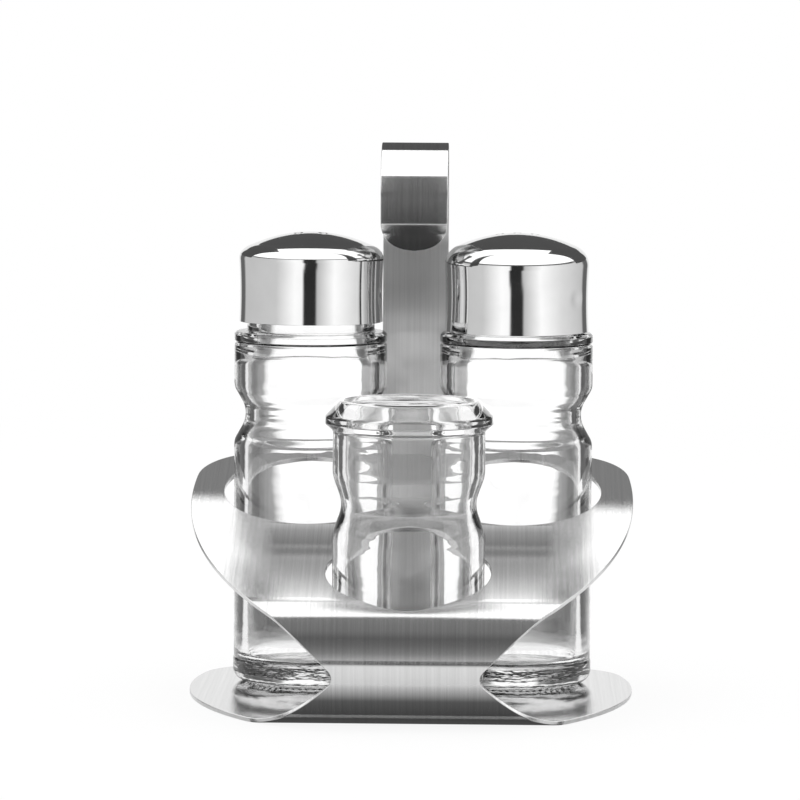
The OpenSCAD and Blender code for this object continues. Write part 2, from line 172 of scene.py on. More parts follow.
world = bpy.data.worlds.new("white_studio")
bpy.context.scene.world = world
sky, sky_out = shader_tree(world, "ShaderNodeOutputWorld")
direction = add_node(sky, "TexCoord").outputs["Generated"]
axes = add_node(sky, "SeparateXYZ", Vector=direction).outputs
turn_share = turn_round(sky, axes)
horizon = add_ramp(sky, turn_share, turn_stops(horizon_stops, brightest_lamp))
height = add_node(sky, "MapRange", Value=axes["Z"], From_Min=gap_high, From_Max=ceiling_low).outputs[0]
above_lamps = add_node(sky, "MapRange", Value=axes["Z"], From_Min=lamp_top, From_Max=gap_low).outputs[0]
in_front = add_node(sky, "MapRange", Value=axes["Y"], From_Min=gap_whole, From_Max=gap_starts).outputs[0]
in_gap = add_math(sky, "MULTIPLY", above_lamps, in_front)
horizon_light = add_node(sky, "Background", Color=horizon, Strength=brightest_lamp).outputs[0]
ceiling_light = add_node(sky, "Background", Color=grey(1), Strength=sky_white).outputs[0]
gap_light = add_node(sky, "Background", Color=grey(1), Strength=gap_dark).outputs[0]
low_light = add_node(sky, "MixShader", Fac=in_gap, _1=horizon_light, _2=gap_light).outputs[0]
reflected = add_node(sky, "MixShader", Fac=height, _1=low_light, _2=ceiling_light).outputs[0]
backdrop = add_ramp(sky, turn_share, turn_stops(through_stops))
over_backdrop = add_node(sky, "MapRange", Value=axes["Z"],
                         From_Min=backdrop_top, From_Max=over_backdrop_low).outputs[0]
through_low = add_node(sky, "Background", Color=backdrop, Strength=through_white).outputs[0]
through_high = add_node(sky, "Background", Color=grey(1), Strength=through_top).outputs[0]
through = add_node(sky, "MixShader", Fac=over_backdrop, _1=through_low, _2=through_high).outputs[0]
camera_white = add_node(sky, "Background", Color=grey(1), Strength=1.0).outputs[0]
soft_room = add_node(sky, "Background", Color=grey(1), Strength=room_light).outputs[0]
path, shown = seen_or_reflected(sky)
mirrored = add_node(sky, "MixShader", Fac=path.outputs["Is Transmission Ray"], _1=reflected, _2=through)
not_camera = add_node(sky, "MixShader", Fac=shown, _1=soft_room, _2=mirrored.outputs[0]).outputs[0]
sky_mix = add_node(sky, "MixShader", Fac=path.outputs["Is Camera Ray"], _1=not_camera, _2=camera_white)
sky.links.new(sky_mix.outputs[0], sky_out.inputs["Surface"])

table_half = 700 * mm
table_drop = 0.02 * mm
lamps_from = 160 * mm
lamps_full = 300 * mm
stands_from = 60 * mm
stands_full = 130 * mm
table_shade = 0.95
white_to_camera = 0.90
white_to_glass = 0.82
table_mesh = bpy.data.meshes.new("white_table")
table_mesh.from_pydata(
    [(-table_half, -table_half, 0), (table_half, -table_half, 0),
     (table_half, table_half, 0), (-table_half, table_half, 0)],
    [], [(0, 1, 2, 3)],
)
table = bpy.data.objects.new("white_table", table_mesh)
table.location = (0, 0, -table_drop)
bpy.context.scene.collection.objects.link(table)
table_paint = bpy.data.materials.new("white_table_top")
paint, paint_out = shader_tree(table_paint)
place = add_node(paint, "TexCoord").outputs["Object"]
axes = add_node(paint, "SeparateXYZ", Vector=place).outputs
table_turn = turn_round(paint, axes)
reach = add_node(paint, "VectorMath", {"operation": "LENGTH"}, _0=place).outputs["Value"]
far_off = add_node(paint, "MapRange", Value=reach, From_Min=lamps_from, From_Max=lamps_full).outputs[0]
not_near = add_node(paint, "MapRange", Value=reach, From_Min=stands_from, From_Max=stands_full).outputs[0]
table_matt = add_node(paint, "BsdfDiffuse", Color=grey(table_shade)).outputs[0]
table_glow = add_node(paint, "Emission", Color=grey(1), Strength=1.0).outputs[0]
# For glossy rays the far part of the table glows with the lamps' bands, a painted reflection of the lamps
# that the steel mirrors; glass shows the stands on it
lamp_ramp = add_ramp(paint, table_turn, turn_stops(horizon_stops, brightest_lamp))
painted_lamp_sheen = add_node(paint, "Emission", Color=lamp_ramp, Strength=brightest_lamp).outputs[0]
stand_ramp = add_ramp(paint, table_turn, turn_stops(through_stops))
stand_sheen = add_node(paint, "Emission", Color=stand_ramp, Strength=through_white).outputs[0]
path = add_node(paint, "LightPath")
camera_share = add_math(paint, "MULTIPLY", path.outputs["Is Camera Ray"], white_to_camera)
through_share = add_math(paint, "MULTIPLY_ADD", path.outputs["Is Transmission Ray"], white_to_glass)
paint.links.new(camera_share, through_share.node.inputs[2])
open_table = add_node(paint, "MixShader", Fac=through_share, _1=table_matt, _2=table_glow).outputs[0]
mirror_share = add_math(paint, "MULTIPLY", path.outputs["Is Glossy Ray"], far_off)
with_lamps = add_node(paint, "MixShader", Fac=mirror_share, _1=open_table, _2=painted_lamp_sheen).outputs[0]
stand_share = add_math(paint, "MULTIPLY", path.outputs["Is Transmission Ray"], not_near)
table_mix = add_node(paint, "MixShader", Fac=stand_share, _1=with_lamps, _2=stand_sheen)
paint.links.new(table_mix.outputs[0], paint_out.inputs["Surface"])
table_mesh.materials.append(table_paint)


def studio_card(name, brightness, *corners, along="Y"):
    """A card that only reflections show, of one brightness or with stops along an axis. Corners in mm."""
    mesh = bpy.data.meshes.new(name)
    mesh.from_pydata([Vector(corner) * mm for corner in corners], [], [tuple(range(len(corners)))])
    card = bpy.data.objects.new(name, mesh)
    bpy.context.scene.collection.objects.link(card)
    cloth = bpy.data.materials.new(name + "_cloth")
    tree, out = shader_tree(cloth)
    glow = add_node(tree, "Emission", Color=grey(1))
    if isinstance(brightness, (int, float)):
        glow.inputs["Strength"].default_value = brightness
    else:
        brightest = max(level for _, level in brightness)
        brightness = [(stop, level / brightest) for stop, level in brightness]
        glow.inputs["Strength"].default_value = brightest
        place = add_node(tree, "TexCoord").outputs["Generated"]
        depth = add_node(tree, "SeparateXYZ", Vector=place).outputs[along]
        tree.links.new(add_ramp(tree, depth, brightness), glow.inputs["Color"])
    tree.links.new(glow.outputs[0], out.inputs["Surface"])
    mesh.materials.append(cloth)
    card.visible_camera = False
    card.visible_diffuse = False
    card.visible_transmission = False
    card.visible_shadow = False


# A dark stand round the back of the caps and the hook
studio_card("dark_stand", 0.10, (-60, 66, 121), (60, 66, 121), (60, 66, 186), (-60, 66, 186))
studio_card("dark_stand_left", 0.10, (-60, 66, 108), (-68, 26, 108), (-68, 26, 180), (-60, 66, 180))
studio_card("dark_stand_right", 0.10, (60, 66, 108), (68, 26, 108), (68, 26, 180), (60, 66, 180))
# A low dark card behind the top plate, and between it and the shakers a glowing card whose grey and bright
# bands are a painted reflection in the sheet's steel
studio_card("dark_low_card", 0.30, (-72, 51, 54), (72, 51, 54), (72, 51, 73.2), (-72, 51, 70))
studio_card("painted_reflection_card",
            [(0.0, 0.70), (0.048, 0.45), (0.131, 0.30), (0.152, 0.30), (0.161, 0.70), (0.170, 0.30),
             (0.220, 0.30), (0.238, 0.72), (0.256, 0.42), (0.286, 0.50), (0.357, 0.56), (0.417, 0.78),
             (0.464, 0.90), (0.500, 1.05), (0.548, 1.50), (0.595, 1.75)],
            (-33, 4, 41), (33, 4, 41), (33, 4, 83), (-33, 4, 83), along="Z")
# Two dark cards close before the hook and under it, seen only in reflections: a painted dark reflection in
# the hook's steel
studio_card("hook_painted_reflection_card", [(0.0, 0.07), (0.4, 0.14), (0.9, 0.17), (1.0, 0.3)],
            (-11, 8, 102), (11, 8, 102), (11, 8, 141), (-11, 8, 141), along="Z")
studio_card("hook_painted_reflection_floor", 0.05, (-7, 8, 101.3), (7, 8, 101.3), (7, 32, 101.3), (-7, 32, 101.3))
# A dark card over the front bend, lighter towards the camera
studio_card("dark_bend_card",
            [(0.0, 0.60), (0.2, 0.40), (0.3, 0.30), (0.5, 0.19), (0.63, 0.15), (0.75, 0.24), (1.0, 0.30)],
            (-70, -62, 80), (-34, -50, 80), (0, -47, 80), (34, -51, 80), (70, -68, 80),
            (70, -160, 22), (-70, -160, 22))
# Dark strips on the table under the bend, seen only in reflections: painted contact shadow between the
# bend and the table
studio_card("painted_contact_shadow_strip", [(0.0, 0.90), (0.45, 0.42), (0.65, 0.14), (1.0, 0.08)],
            (-60, -60, 0.03), (60, -60, 0.03), (60, -41.2, 0.03), (-60, -41.2, 0.03))
studio_card("painted_contact_shadow_line", 0.08,
            (-60, -39.9, 0.03), (60, -39.9, 0.03), (60, -34, 0.03), (-60, -34, 0.03))

key_lamp = bpy.data.lights.new("soft_ceiling_lamp", "AREA")
key_lamp.shape = "RECTANGLE"
key_lamp.size = 900 * mm
key_lamp.size_y = 700 * mm
key_lamp.energy = 2.2
key = bpy.data.objects.new("soft_ceiling_lamp", key_lamp)
key.location = (-150 * mm, 50 * mm, 850 * mm)
key.visible_glossy = False
key.visible_transmission = False
bpy.context.scene.collection.objects.link(key)


# Bent sheet
# One blank of 1 mm stainless sheet, laser cut with its three holes and rolled
# over a bar at the front, so that the base and the sloping top are one piece.
# Its brush lines run from front to back along the bend.
sheet_low, sheet_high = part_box("stand_sheet")
sheet_thick = 1.0 * mm
bend_radius = 14.8 * mm
top_slope = math.radians(16)
waist_width = 33.2 * mm
waist_turn = math.radians(79)
notch_slant = math.radians(45)
notch_radius = 2.5 * mm
shoulder_radius = 16 * mm
corner_radius = 16 * mm
base_side_radius = 84 * mm
base_widest = 70 * mm
top_side_radius = 124 * mm
top_widest = 83 * mm
edge_round = 0.16 * mm
shaker_spacing = 48.75 * mm
shaker_hole_radius = 20.4 * mm
back_rim = 2.1 * mm
toothpick_hole_radius = 18.9 * mm
toothpick_hole_y = -23.0 * mm
strip_room = 1.3 * mm

half_sheet = sheet_high.x
back_y = sheet_high.y
front_y = sheet_low.y
bend_y = front_y + bend_radius
bend_turn = math.pi - top_slope
bend_run = bend_radius * bend_turn
waist_run = bend_radius * waist_turn
top_line_y = bend_y - bend_radius * math.sin(top_slope)
top_back_y = back_y - strip_room
base_reach = waist_run + back_y - bend_y
top_reach = bend_run - waist_run + (top_back_y - top_line_y) / math.cos(top_slope)
shaker_y = top_back_y - shaker_hole_radius - back_rim


def arc_points(centre_x, centre_y, radius, start, end, steps):
    """Points on an arc, angles in degrees."""
    points = []
    for i in range(steps + 1):
        angle = math.radians(start + (end - start) * i / steps)
        points.append((centre_x + radius * math.cos(angle), centre_y + radius * math.sin(angle)))
    return points


def side_of_plate(reach, side_radius, widest):
    """Half the blank from the waist to the middle of a back edge, as (run, half width)."""
    slant = math.tan(notch_slant)
    notch_end = notch_radius * math.cos(notch_slant)
    notch_lift = notch_radius - notch_radius * math.sin(notch_slant)
    slant_start = waist_width / 2 + notch_lift - notch_end * slant
    side_y = half_sheet - side_radius
    down = slant_start - shoulder_radius / math.cos(notch_slant) - side_y
    a = 1 + slant * slant
    b = slant * down - widest
    c = widest * widest + down * down - (side_radius - shoulder_radius) ** 2
    centre_run = (-b + math.sqrt(b * b - a * c)) / a
    centre_half = side_y + down + slant * centre_run
    corner_run = reach - corner_radius
    corner_half = side_y + math.sqrt((side_radius - corner_radius) ** 2 - (corner_run - widest) ** 2)
    shoulder_turn = math.degrees(math.atan2(centre_half - side_y, centre_run - widest))
    corner_turn = math.degrees(math.atan2(corner_half - side_y, corner_run - widest))
    notch_turn = -90 + math.degrees(notch_slant)
    points = arc_points(0, waist_width / 2 + notch_radius, notch_radius, -90, notch_turn, 10)
    slant_end = centre_run - shoulder_radius * math.sin(notch_slant)
    slant_steps = 18
    for i in range(1, slant_steps):
        run = notch_end + (slant_end - notch_end) * i / slant_steps
        points.append((run, slant_start + slant * run))
    slant_turn = 90 + math.degrees(notch_slant)
    points += arc_points(centre_run, centre_half, shoulder_radius, slant_turn, shoulder_turn, 6)
    points += arc_points(widest, side_y, side_radius, shoulder_turn, corner_turn, 70)[1:]
    points += arc_points(corner_run, corner_half, corner_radius, corner_turn, 0, 20)[1:]
    last_half = points[-1][1]
    back_steps = 24
    for i in range(1, back_steps):
        points.append((reach, last_half * (1 - i / back_steps)))
    return points


def blank_outline():
    """The whole blank as (across, run from the base's end of the bend), once round."""
    top = side_of_plate(top_reach, top_side_radius, top_widest)
    base = side_of_plate(base_reach, base_side_radius, base_widest)
    right_side = [(half, waist_run - run) for run, half in reversed(base)]
    right_side += [(half, waist_run + run) for run, half in top[1:]]
    left_side = [(-half, run) for half, run in reversed(right_side)]
    middle_top = (0, waist_run + top_reach)
    middle_base = (0, waist_run - base_reach)
    return right_side + [middle_top] + left_side + [middle_base]


def moved_in(outline, inset):
    """The outline moved to its inside by inset."""
    moved = []
    count = len(outline)
    for i, here in enumerate(outline):
        before, after = outline[i - 1], outline[(i + 1) % count]
        along = Vector((after[0] - before[0], after[1] - before[1])).normalized()
        moved.append((here[0] - along.y * inset, here[1] + along.x * inset))
    return moved


def on_sheet(across, run, depth):
    """Point and outward normal of the sheet, depth below its outer face."""
    if run <= 0:
        return Vector((across, bend_y - run, depth)), Vector((0, 0, -1))
    turned = min(run / bend_radius, bend_turn)
    normal = Vector((0, -math.sin(turned), -math.cos(turned)))
    point = Vector((across, bend_y, bend_radius)) + normal * (bend_radius - depth)
    if run > bend_run:
        point += Vector((0, math.cos(top_slope), math.sin(top_slope))) * (run - bend_run)
    return point, normal


def run_at(y, depth):
    """Run of the place on the upper plate or bend that has this y."""
    line_y = bend_y - (bend_radius - depth) * math.sin(top_slope)
    if y >= line_y:
        return bend_run + (y - line_y) / math.cos(top_slope)
    return bend_radius * (math.pi - math.asin((bend_y - y) / (bend_radius - depth)))


def hole_outline(centre_x, centre_y, radius, depth, steps):
    ring = arc_points(centre_x, centre_y, radius, 0, 360 - 360 / steps, steps - 1)
    return [(x, run_at(y, depth)) for x, y in ring]


sheet_holes = [
    (-shaker_spacing / 2, shaker_y, shaker_hole_radius),
    (shaker_spacing / 2, shaker_y, shaker_hole_radius),
    (0, toothpick_hole_y, toothpick_hole_radius),
]
hole_points = 150


def sheet_face(outline, holes, inner_points):
    """Triangles between an outline and its holes, as point indices."""
    points = list(outline)
    edges = [(i, (i + 1) % len(outline)) for i in range(len(outline))]
    for hole in holes:
        first = len(points)
        points += hole
        edges += [(first + i, first + (i + 1) % len(hole)) for i in range(len(hole))]
    kept = len(points)
    scale = 1 / mm
    flat = [Vector(point) * scale for point in points + inner_points]
    _, _, faces, sources, _, _ = delaunay_2d_cdt(flat, edges, [], 1, 1e-6)
    index = [source[0] for source in sources]
    every = points + inner_points
    triangles = []
    for face in faces:
        corners = [index[i] for i in face]
        x = sum(every[i][0] for i in corners) / 3
        run = sum(every[i][1] for i in corners) / 3
        if not any(inside_loop(x, run, hole) for hole in holes):
            triangles.append(corners)
    return triangles, kept


def inside_loop(x, y, loop):
    inside = False
    for i, here in enumerate(loop):
        before = loop[i - 1]
        if (here[1] > y) != (before[1] > y):
            if x < here[0] + (y - here[1]) / (before[1] - here[1]) * (before[0] - here[0]):
                inside = not inside
    return inside


def near_loop(x, y, loop, distance):
    return any(abs(px - x) < distance and abs(py - y) < distance for px, py in loop)


def bend_grid(outline, holes):
    """Points over the bend, on straight lines across it, clear of every edge."""
    points = []
    rows = 84
    columns = 40
    clear = 0.5 * mm  # kept free of grid points beside every edge
    for row in range(rows + 1):
        run = bend_run * row / rows
        for column in range(columns + 1):
            x = half_sheet * (2 * column / columns - 1)
            if not inside_loop(x, run, outline) or near_loop(x, run, outline, clear):
                continue
            if any(inside_loop(x, run, hole) or near_loop(x, run, hole, clear) for hole in holes):
                continue
            points.append((x, run))
    return points


def new_piece(name, points, faces, normals=None, uvs=None):
    mesh = bpy.data.meshes.new(name)
    mesh.from_pydata(points, [], faces)
    if uvs:
        layer = mesh.uv_layers.new(name="UVMap")
        for corner in mesh.loops:
            layer.data[corner.index].uv = uvs[corner.vertex_index]
    mesh.shade_smooth()
    if normals:
        mesh.normals_split_custom_set_from_vertices(normals)
    mesh.validate()
    piece = bpy.data.objects.new(name, mesh)
    bpy.context.scene.collection.objects.link(piece)
    return piece


def bent_sheet():
    points, normals, uvs, faces = [], [], [], []
    blank = blank_outline()
    # Edge loops from the outer face round the edge to the inner face: how far
    # each is moved in, its depth, and its normal's share towards the edge
    half = math.sqrt(0.5)
    loops = [
        (edge_round, 0.0, 0.0),
        (edge_round * (1 - half), edge_round * (1 - half), half),
        (0.0, edge_round, 1.0),
        (0.0, sheet_thick - edge_round, 1.0),
        (edge_round * (1 - half), sheet_thick - edge_round * (1 - half), half),
        (edge_round, sheet_thick, 0.0),
    ]
    rings = []
    for inset, depth, lean in loops:
        ring_set = [moved_in(blank, inset)]
        for x, y, radius in sheet_holes:
            ring_set.append(hole_outline(x, y, radius + inset, depth, hole_points)[::-1])
        starts = []
        for outline in ring_set:
            starts.append((len(points), len(outline)))
            count = len(outline)
            for i, (x, run) in enumerate(outline):
                point, normal = on_sheet(x, run, depth)
                before = on_sheet(*outline[i - 1], depth)[0]
                after = on_sheet(*outline[(i + 1) % count], depth)[0]
                out = (after - before).cross(normal).normalized()
                side = normal if depth < sheet_thick / 2 else -normal
                points.append(point)
                normals.append((side * math.sqrt(1 - lean * lean) + out * lean).normalized())
                uvs.append((x, run))
        rings.append((ring_set, starts))
    for (_, low), (_, high) in zip(rings, rings[1:]):
        for (a, count), (b, _) in zip(low, high):
            for i in range(count):
                j = (i + 1) % count
                faces.append((a + i, b + i, b + j, a + j))
    for ring_set, starts, depth in ((*rings[0], 0.0), (*rings[-1], sheet_thick)):
        grid = bend_grid(ring_set[0], ring_set[1:])
        triangles, kept = sheet_face(ring_set[0], ring_set[1:], grid)
        place = []
        for first, count in starts:
            place += range(first, first + count)
        for x, run in grid:
            point, normal = on_sheet(x, run, depth)
            place.append(len(points))
            points.append(point)
            normals.append(normal if depth == 0 else -normal)
            uvs.append((x, run))
        for corners in triangles:
            corners = corners[::-1] if depth else corners
            faces.append(tuple(place[i] for i in corners))
    return new_piece("bent_sheet", points, faces, normals, uvs)


def stretched(tree, place, scale):
    """Place scaled unevenly, so that a noise on it runs in lines or rings."""
    return add_node(tree, "Mapping", {"vector_type": "POINT"}, Vector=place, Scale=scale).outputs[0]


def brushed_steel(name, shade, roughness, line_depth, far_run=None, far_roughness=None):
    """Steel brushed along its run, the second UV. Beyond far_run it has far_roughness."""
    steel = bpy.data.materials.new(name)
    tree, out = shader_tree(steel)
    uv = add_node(tree, "UVMap", {"uv_map": "UVMap"}).outputs[0]
    lines = stretched(tree, uv, (9000, 45, 1))
    fine = add_node(tree, "TexNoise", Vector=lines, Scale=1.0, Detail=4.0, Roughness=0.7).outputs["Fac"]
    wide_lines = stretched(tree, uv, (1400, 9, 1))
    wide = add_node(tree, "TexNoise", Vector=wide_lines, Scale=1.0, Detail=2.0).outputs["Fac"]
    clouds = add_node(tree, "TexNoise", Vector=uv, Scale=45.0, Detail=3.0).outputs["Fac"]
    both = add_math(tree, "MULTIPLY_ADD", wide, 0.45)
    tree.links.new(add_math(tree, "MULTIPLY", fine, 0.55), both.node.inputs[2])
    colour = add_ramp(tree, both, [(0.30, shade * 0.86), (0.5, shade), (0.70, shade * 1.14)])
    rough = add_node(tree, "MapRange", Value=clouds, From_Min=0.3, From_Max=0.7,
                     To_Min=roughness * 0.88, To_Max=roughness * 1.12).outputs[0]
    if far_run:
        run = add_node(tree, "SeparateXYZ", Vector=uv).outputs["Y"]
        blend = 6 * mm
        share = add_node(tree, "MapRange", Value=run, From_Min=far_run - blend, From_Max=far_run + blend,
                         To_Min=1.0, To_Max=far_roughness / roughness).outputs[0]
        rough = add_math(tree, "MULTIPLY", rough, share)
    bump = add_node(tree, "Bump", Height=both, Strength=1.0, Distance=line_depth * mm).outputs[0]
    tangent = add_node(tree, "Tangent", {"direction_type": "UV_MAP", "uv_map": "UVMap"}).outputs[0]
    body = add_node(tree, "BsdfPrincipled", Base_Color=colour, Metallic=1.0, Roughness=rough,
                    Anisotropic=1.0, Normal=bump, Tangent=tangent)
    tree.links.new(body.outputs[0], out.inputs["Surface"])
    return steel


stand_steel = brushed_steel("brushed_stand_steel", 0.62, 0.12, 0.03)
sheet = bent_sheet()
sheet.data.materials.append(stand_steel)
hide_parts("stand_sheet")
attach(sheet, "stand")


# Carrying strip
# A strip of 1.2 mm stainless steel with a foot spot welded to the base, an
# upright, and a curl that comes forward over the shakers as a finger hold.
# The end of the curl is cut round.
strip_low, strip_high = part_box("handle_strip")
strip_thick = 1.2 * mm
curl_radius = 14.6 * mm
curl_end = 227
foot_length = 13.8 * mm
foot_bend_outer = 3.2 * mm
foot_corner = 3 * mm
half_strip = strip_high.x
strip_back = strip_high.y
foot_low = strip_low.z
curl_y = strip_back - curl_radius
curl_z = strip_high.z - curl_radius


def strip_path():
    """Back face of the strip from its foot to the curl's end, as (point, normal) in the y-z plane."""
    path = []
    foot_steps = 16
    for i in range(foot_steps + 1):
        y = strip_back - foot_length + (foot_length - foot_bend_outer) * i / foot_steps
        path.append(((y, foot_low), (0, -1)))
    bend_steps = 9
    for i in range(1, bend_steps):
        angle = math.radians(-90 + 90 * i / bend_steps)
        out = (math.cos(angle), math.sin(angle))
        path.append(((strip_back - foot_bend_outer + foot_bend_outer * out[0],
                      foot_low + foot_bend_outer + foot_bend_outer * out[1]), out))
    upright_low = foot_low + foot_bend_outer
    upright_steps = 30
    for i in range(upright_steps + 1):
        path.append(((strip_back, upright_low + (curl_z - upright_low) * i / upright_steps), (1, 0)))
    turn_steps = 130
    for i in range(1, turn_steps + 1):
        angle = math.radians(curl_end * i / turn_steps)
        out = (math.cos(angle), math.sin(angle))
        path.append(((curl_y + curl_radius * out[0], curl_z + curl_radius * out[1]), out))
    return path


def carrying_strip():
    path = strip_path()
    lengths = [0.0]
    for (a, _), (b, _) in zip(path, path[1:]):
        lengths.append(lengths[-1] + math.hypot(b[0] - a[0], b[1] - a[1]))
    whole = lengths[-1]
    points, normals, uvs, faces = [], [], [], []
    half = math.sqrt(0.5)
    # Corners of the strip's section, counted round it: share of the edge's
    # rounding that each is moved in, depth, and the normal across and out
    section = [
        (1, 0.0, 0.0, 1.0),
        (1 - half, edge_round * (1 - half), half, half),
        (0, edge_round, 1.0, 0.0),
        (0, strip_thick - edge_round, 1.0, 0.0),
        (1 - half, strip_thick - edge_round * (1 - half), half, -half),
        (1, strip_thick, 0.0, -1.0),
    ]
    across = [-0.99, -0.75, -0.5, -0.25, 0, 0.25, 0.5, 0.75, 0.99]
    ring_size = 0
    rows = 0
    for (place, out), run in zip(path, lengths):
        # Half width here: round corners at the foot's front, a round end on the curl
        half_here = half_strip
        if run < foot_corner:
            corner_left = max(0, foot_corner ** 2 - (foot_corner - run) ** 2)
            half_here = half_strip - foot_corner + math.sqrt(corner_left)
        left_over = whole - run
        if left_over < half_strip:
            half_here = math.sqrt(max(0, half_strip ** 2 - (half_strip - left_over) ** 2))
        half_here = max(half_here, 2.2 * edge_round)
        ring = []
        for x_share in across[::-1]:
            ring.append((x_share * (half_here - edge_round), 0.0, 0.0, 1.0))
        for inset, depth, side, face in section:
            ring.append((-(half_here - inset * edge_round), depth, -side, face))
        for x_share in across:
            ring.append((x_share * (half_here - edge_round), strip_thick, 0.0, -1.0))
        for inset, depth, side, face in section[::-1]:
            ring.append((half_here - inset * edge_round, depth, side, face))
        for x, depth, side, face in ring:
            points.append(Vector((x, place[0] - out[0] * depth, place[1] - out[1] * depth)))
            normals.append(Vector((side, out[0] * face, out[1] * face)).normalized())
            uvs.append((x, run))
        ring_size = len(ring)
        rows += 1
    for row in range(rows - 1):
        for i in range(ring_size):
            j = (i + 1) % ring_size
            a, b = row * ring_size, (row + 1) * ring_size
            faces.append((a + i, a + j, b + j, b + i))
    faces.append(tuple(range(ring_size))[::-1])
    faces.append(tuple((rows - 1) * ring_size + i for i in range(ring_size)))
    return new_piece("carrying_strip", points, faces, normals, uvs)


strip_steel = brushed_steel("brushed_strip_steel", 0.74, 0.50, 0.012, far_run=128 * mm, far_roughness=0.14)
strip = carrying_strip()
strip.data.materials.append(strip_steel)
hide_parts("handle_strip")
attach(strip, "stand")


# Shaker glasses
# Two pressed glasses from one mould, with a knurled foot, a finger groove, a
# ring round the shoulder and a neck with two thread ridges. They stand loose
# on the base in the two rear holes.
stand_clear = 0.02 * mm
foot_z = sheet_thick + stand_clear
glass_segments = 192


def rounded_path(corners, smallest_turn=7):
    """Corners as (radius, height, fillet) in mm, to a path with its fillets as arcs."""
    path = []
    for i, (x, y, fillet) in enumerate(corners):
        here = Vector((x, y))
        if fillet == 0 or i in (0, len(corners) - 1):
            path.append(here)
            continue
        before = (Vector(corners[i - 1][:2]) - here)
        after = (Vector(corners[i + 1][:2]) - here)
        between = before.angle(after)
        most = 0.499
        reach = min(fillet / math.tan(between / 2), before.length * most, after.length * most)
        radius = reach * math.tan(between / 2)
        start = here + before.normalized() * reach
        end = here + after.normalized() * reach
        inward = (before.normalized() + after.normalized()).normalized()
        middle = here + inward * radius / math.sin(between / 2)
        total = math.pi - between
        steps = max(3, round(math.degrees(total) / smallest_turn))
        first = start - middle
        sense = 1 if first.cross(end - middle) > 0 else -1
        for k in range(steps + 1):
            angle = sense * total * k / steps
            path.append(middle + Matrix.Rotation(angle, 2) @ first)
    return path


def filled_path(path, longest=1.2):
    """The same path with points added wherever a straight stretch is long."""
    filled = [path[0]]
    for here, after in zip(path, path[1:]):
        parts = max(1, math.ceil((after - here).length / longest))
        filled += [here.lerp(after, k / parts) for k in range(1, parts + 1)]
    return filled


def turned_piece(name, path, centre, segments, change=None, sharp=38):
    """A body turned about an upright axis from a half section that starts and ends on the axis."""
    points, faces = [], []
    rows = []
    for place in path:
        if place.x < 1e-4:
            rows.append((len(points), 1))
            points.append((centre[0], centre[1], centre[2] + place.y * mm))
            continue
        rows.append((len(points), segments))
        for i in range(segments):
            angle = 2 * math.pi * i / segments
            r, z = place.x, place.y
            if change:
                r, z = change(r, z, angle)
            points.append((centre[0] + r * mm * math.cos(angle),
                           centre[1] + r * mm * math.sin(angle), centre[2] + z * mm))
    for (a, a_count), (b, b_count) in zip(rows, rows[1:]):
        for i in range(segments):
            j = (i + 1) % segments
            if a_count == 1 and b_count == 1:
                continue
            if a_count == 1:
                faces.append((a, b + i, b + j)[::-1])
            elif b_count == 1:
                faces.append((a + i, a + j, b))
            else:
                faces.append((a + i, a + j, b + j, b + i))
    piece = new_piece(name, points, faces)
    piece.data.set_sharp_from_angle(angle=math.radians(sharp))
    return piece


# Corners of the glass's half section in mm: radius, height, fillet
shaker_outside = [
    (0, 0.9, 0), (12.6, 0.9, 1.5), (13.6, 0, 0.6), (15.2, 0, 0.5), (18.25, 1.4, 2.6), (18.25, 5.3, 0.5),
    (18.1, 6.0, 0.5), (18.1, 57.6, 3.6), (14.5, 64, 6.2), (18.1, 70.4, 3.6),
    (18.1, 80.4, 0.3), (17.6, 80.9, 0.25), (18.1, 81.4, 0.3), (18.1, 82.9, 0.5), (17.5, 83.5, 0.4),
    (15.1, 83.5, 0.5), (15.1, 85.0, 0), (15.1, 93.0, 0), (15.1, 97.2, 0), (15.1, 98.4, 0.9),
    (12.4, 98.4, 0.9),
]
shaker_inside = [
    (12.4, 84.6, 6.0), (14.9, 76.4, 6.0), (14.9, 69.8, 3.0), (13.0, 65.6, 3.0), (13.0, 62.4, 3.0),
    (14.9, 58.2, 3.0), (14.9, 4.9, 3.2), (9, 5.1, 4.0), (0, 6.2, 0),
]
neck_radius = 15.1
thread_height = 95.0
thread_half = 0.9
thread_stand = 0.65
thread_rise = math.tan(math.radians(4)) * neck_radius
thread_gap = math.radians(14)
thread_run_out = 0.12
knurl_count = 60
knurl_depth = 0.28
foot_grain_full = 5 * mm
foot_grain_end = 8.5 * mm
foot_roughness = 0.12


def shaker_change(dimple_turn):
    """Thread ridges on the neck and knurls under the foot."""
    def change(r, z, angle):
        if 15.05 < r < 15.2 and 92 < z < 98:
            from_gap = (angle - dimple_turn + math.pi / 2) % math.pi
            nearest = min(from_gap, math.pi - from_gap)
            first_ridge = (angle - dimple_turn + math.pi / 2) % (2 * math.pi) < math.pi
            rise = thread_rise if first_ridge else -thread_rise
            ridge_z = thread_height + rise * math.sin(angle - dimple_turn)
            share = max(0.0, 1 - ((z - ridge_z) / thread_half) ** 2)
            r += thread_stand * share * min(1.0, max(0.0, (nearest - thread_gap) / thread_run_out))
        if z < 0.45 and 13.2 < r < 16.6:
            z += knurl_depth * (0.5 + 0.5 * math.cos(knurl_count * angle)) ** 2
        return r, z
    return change


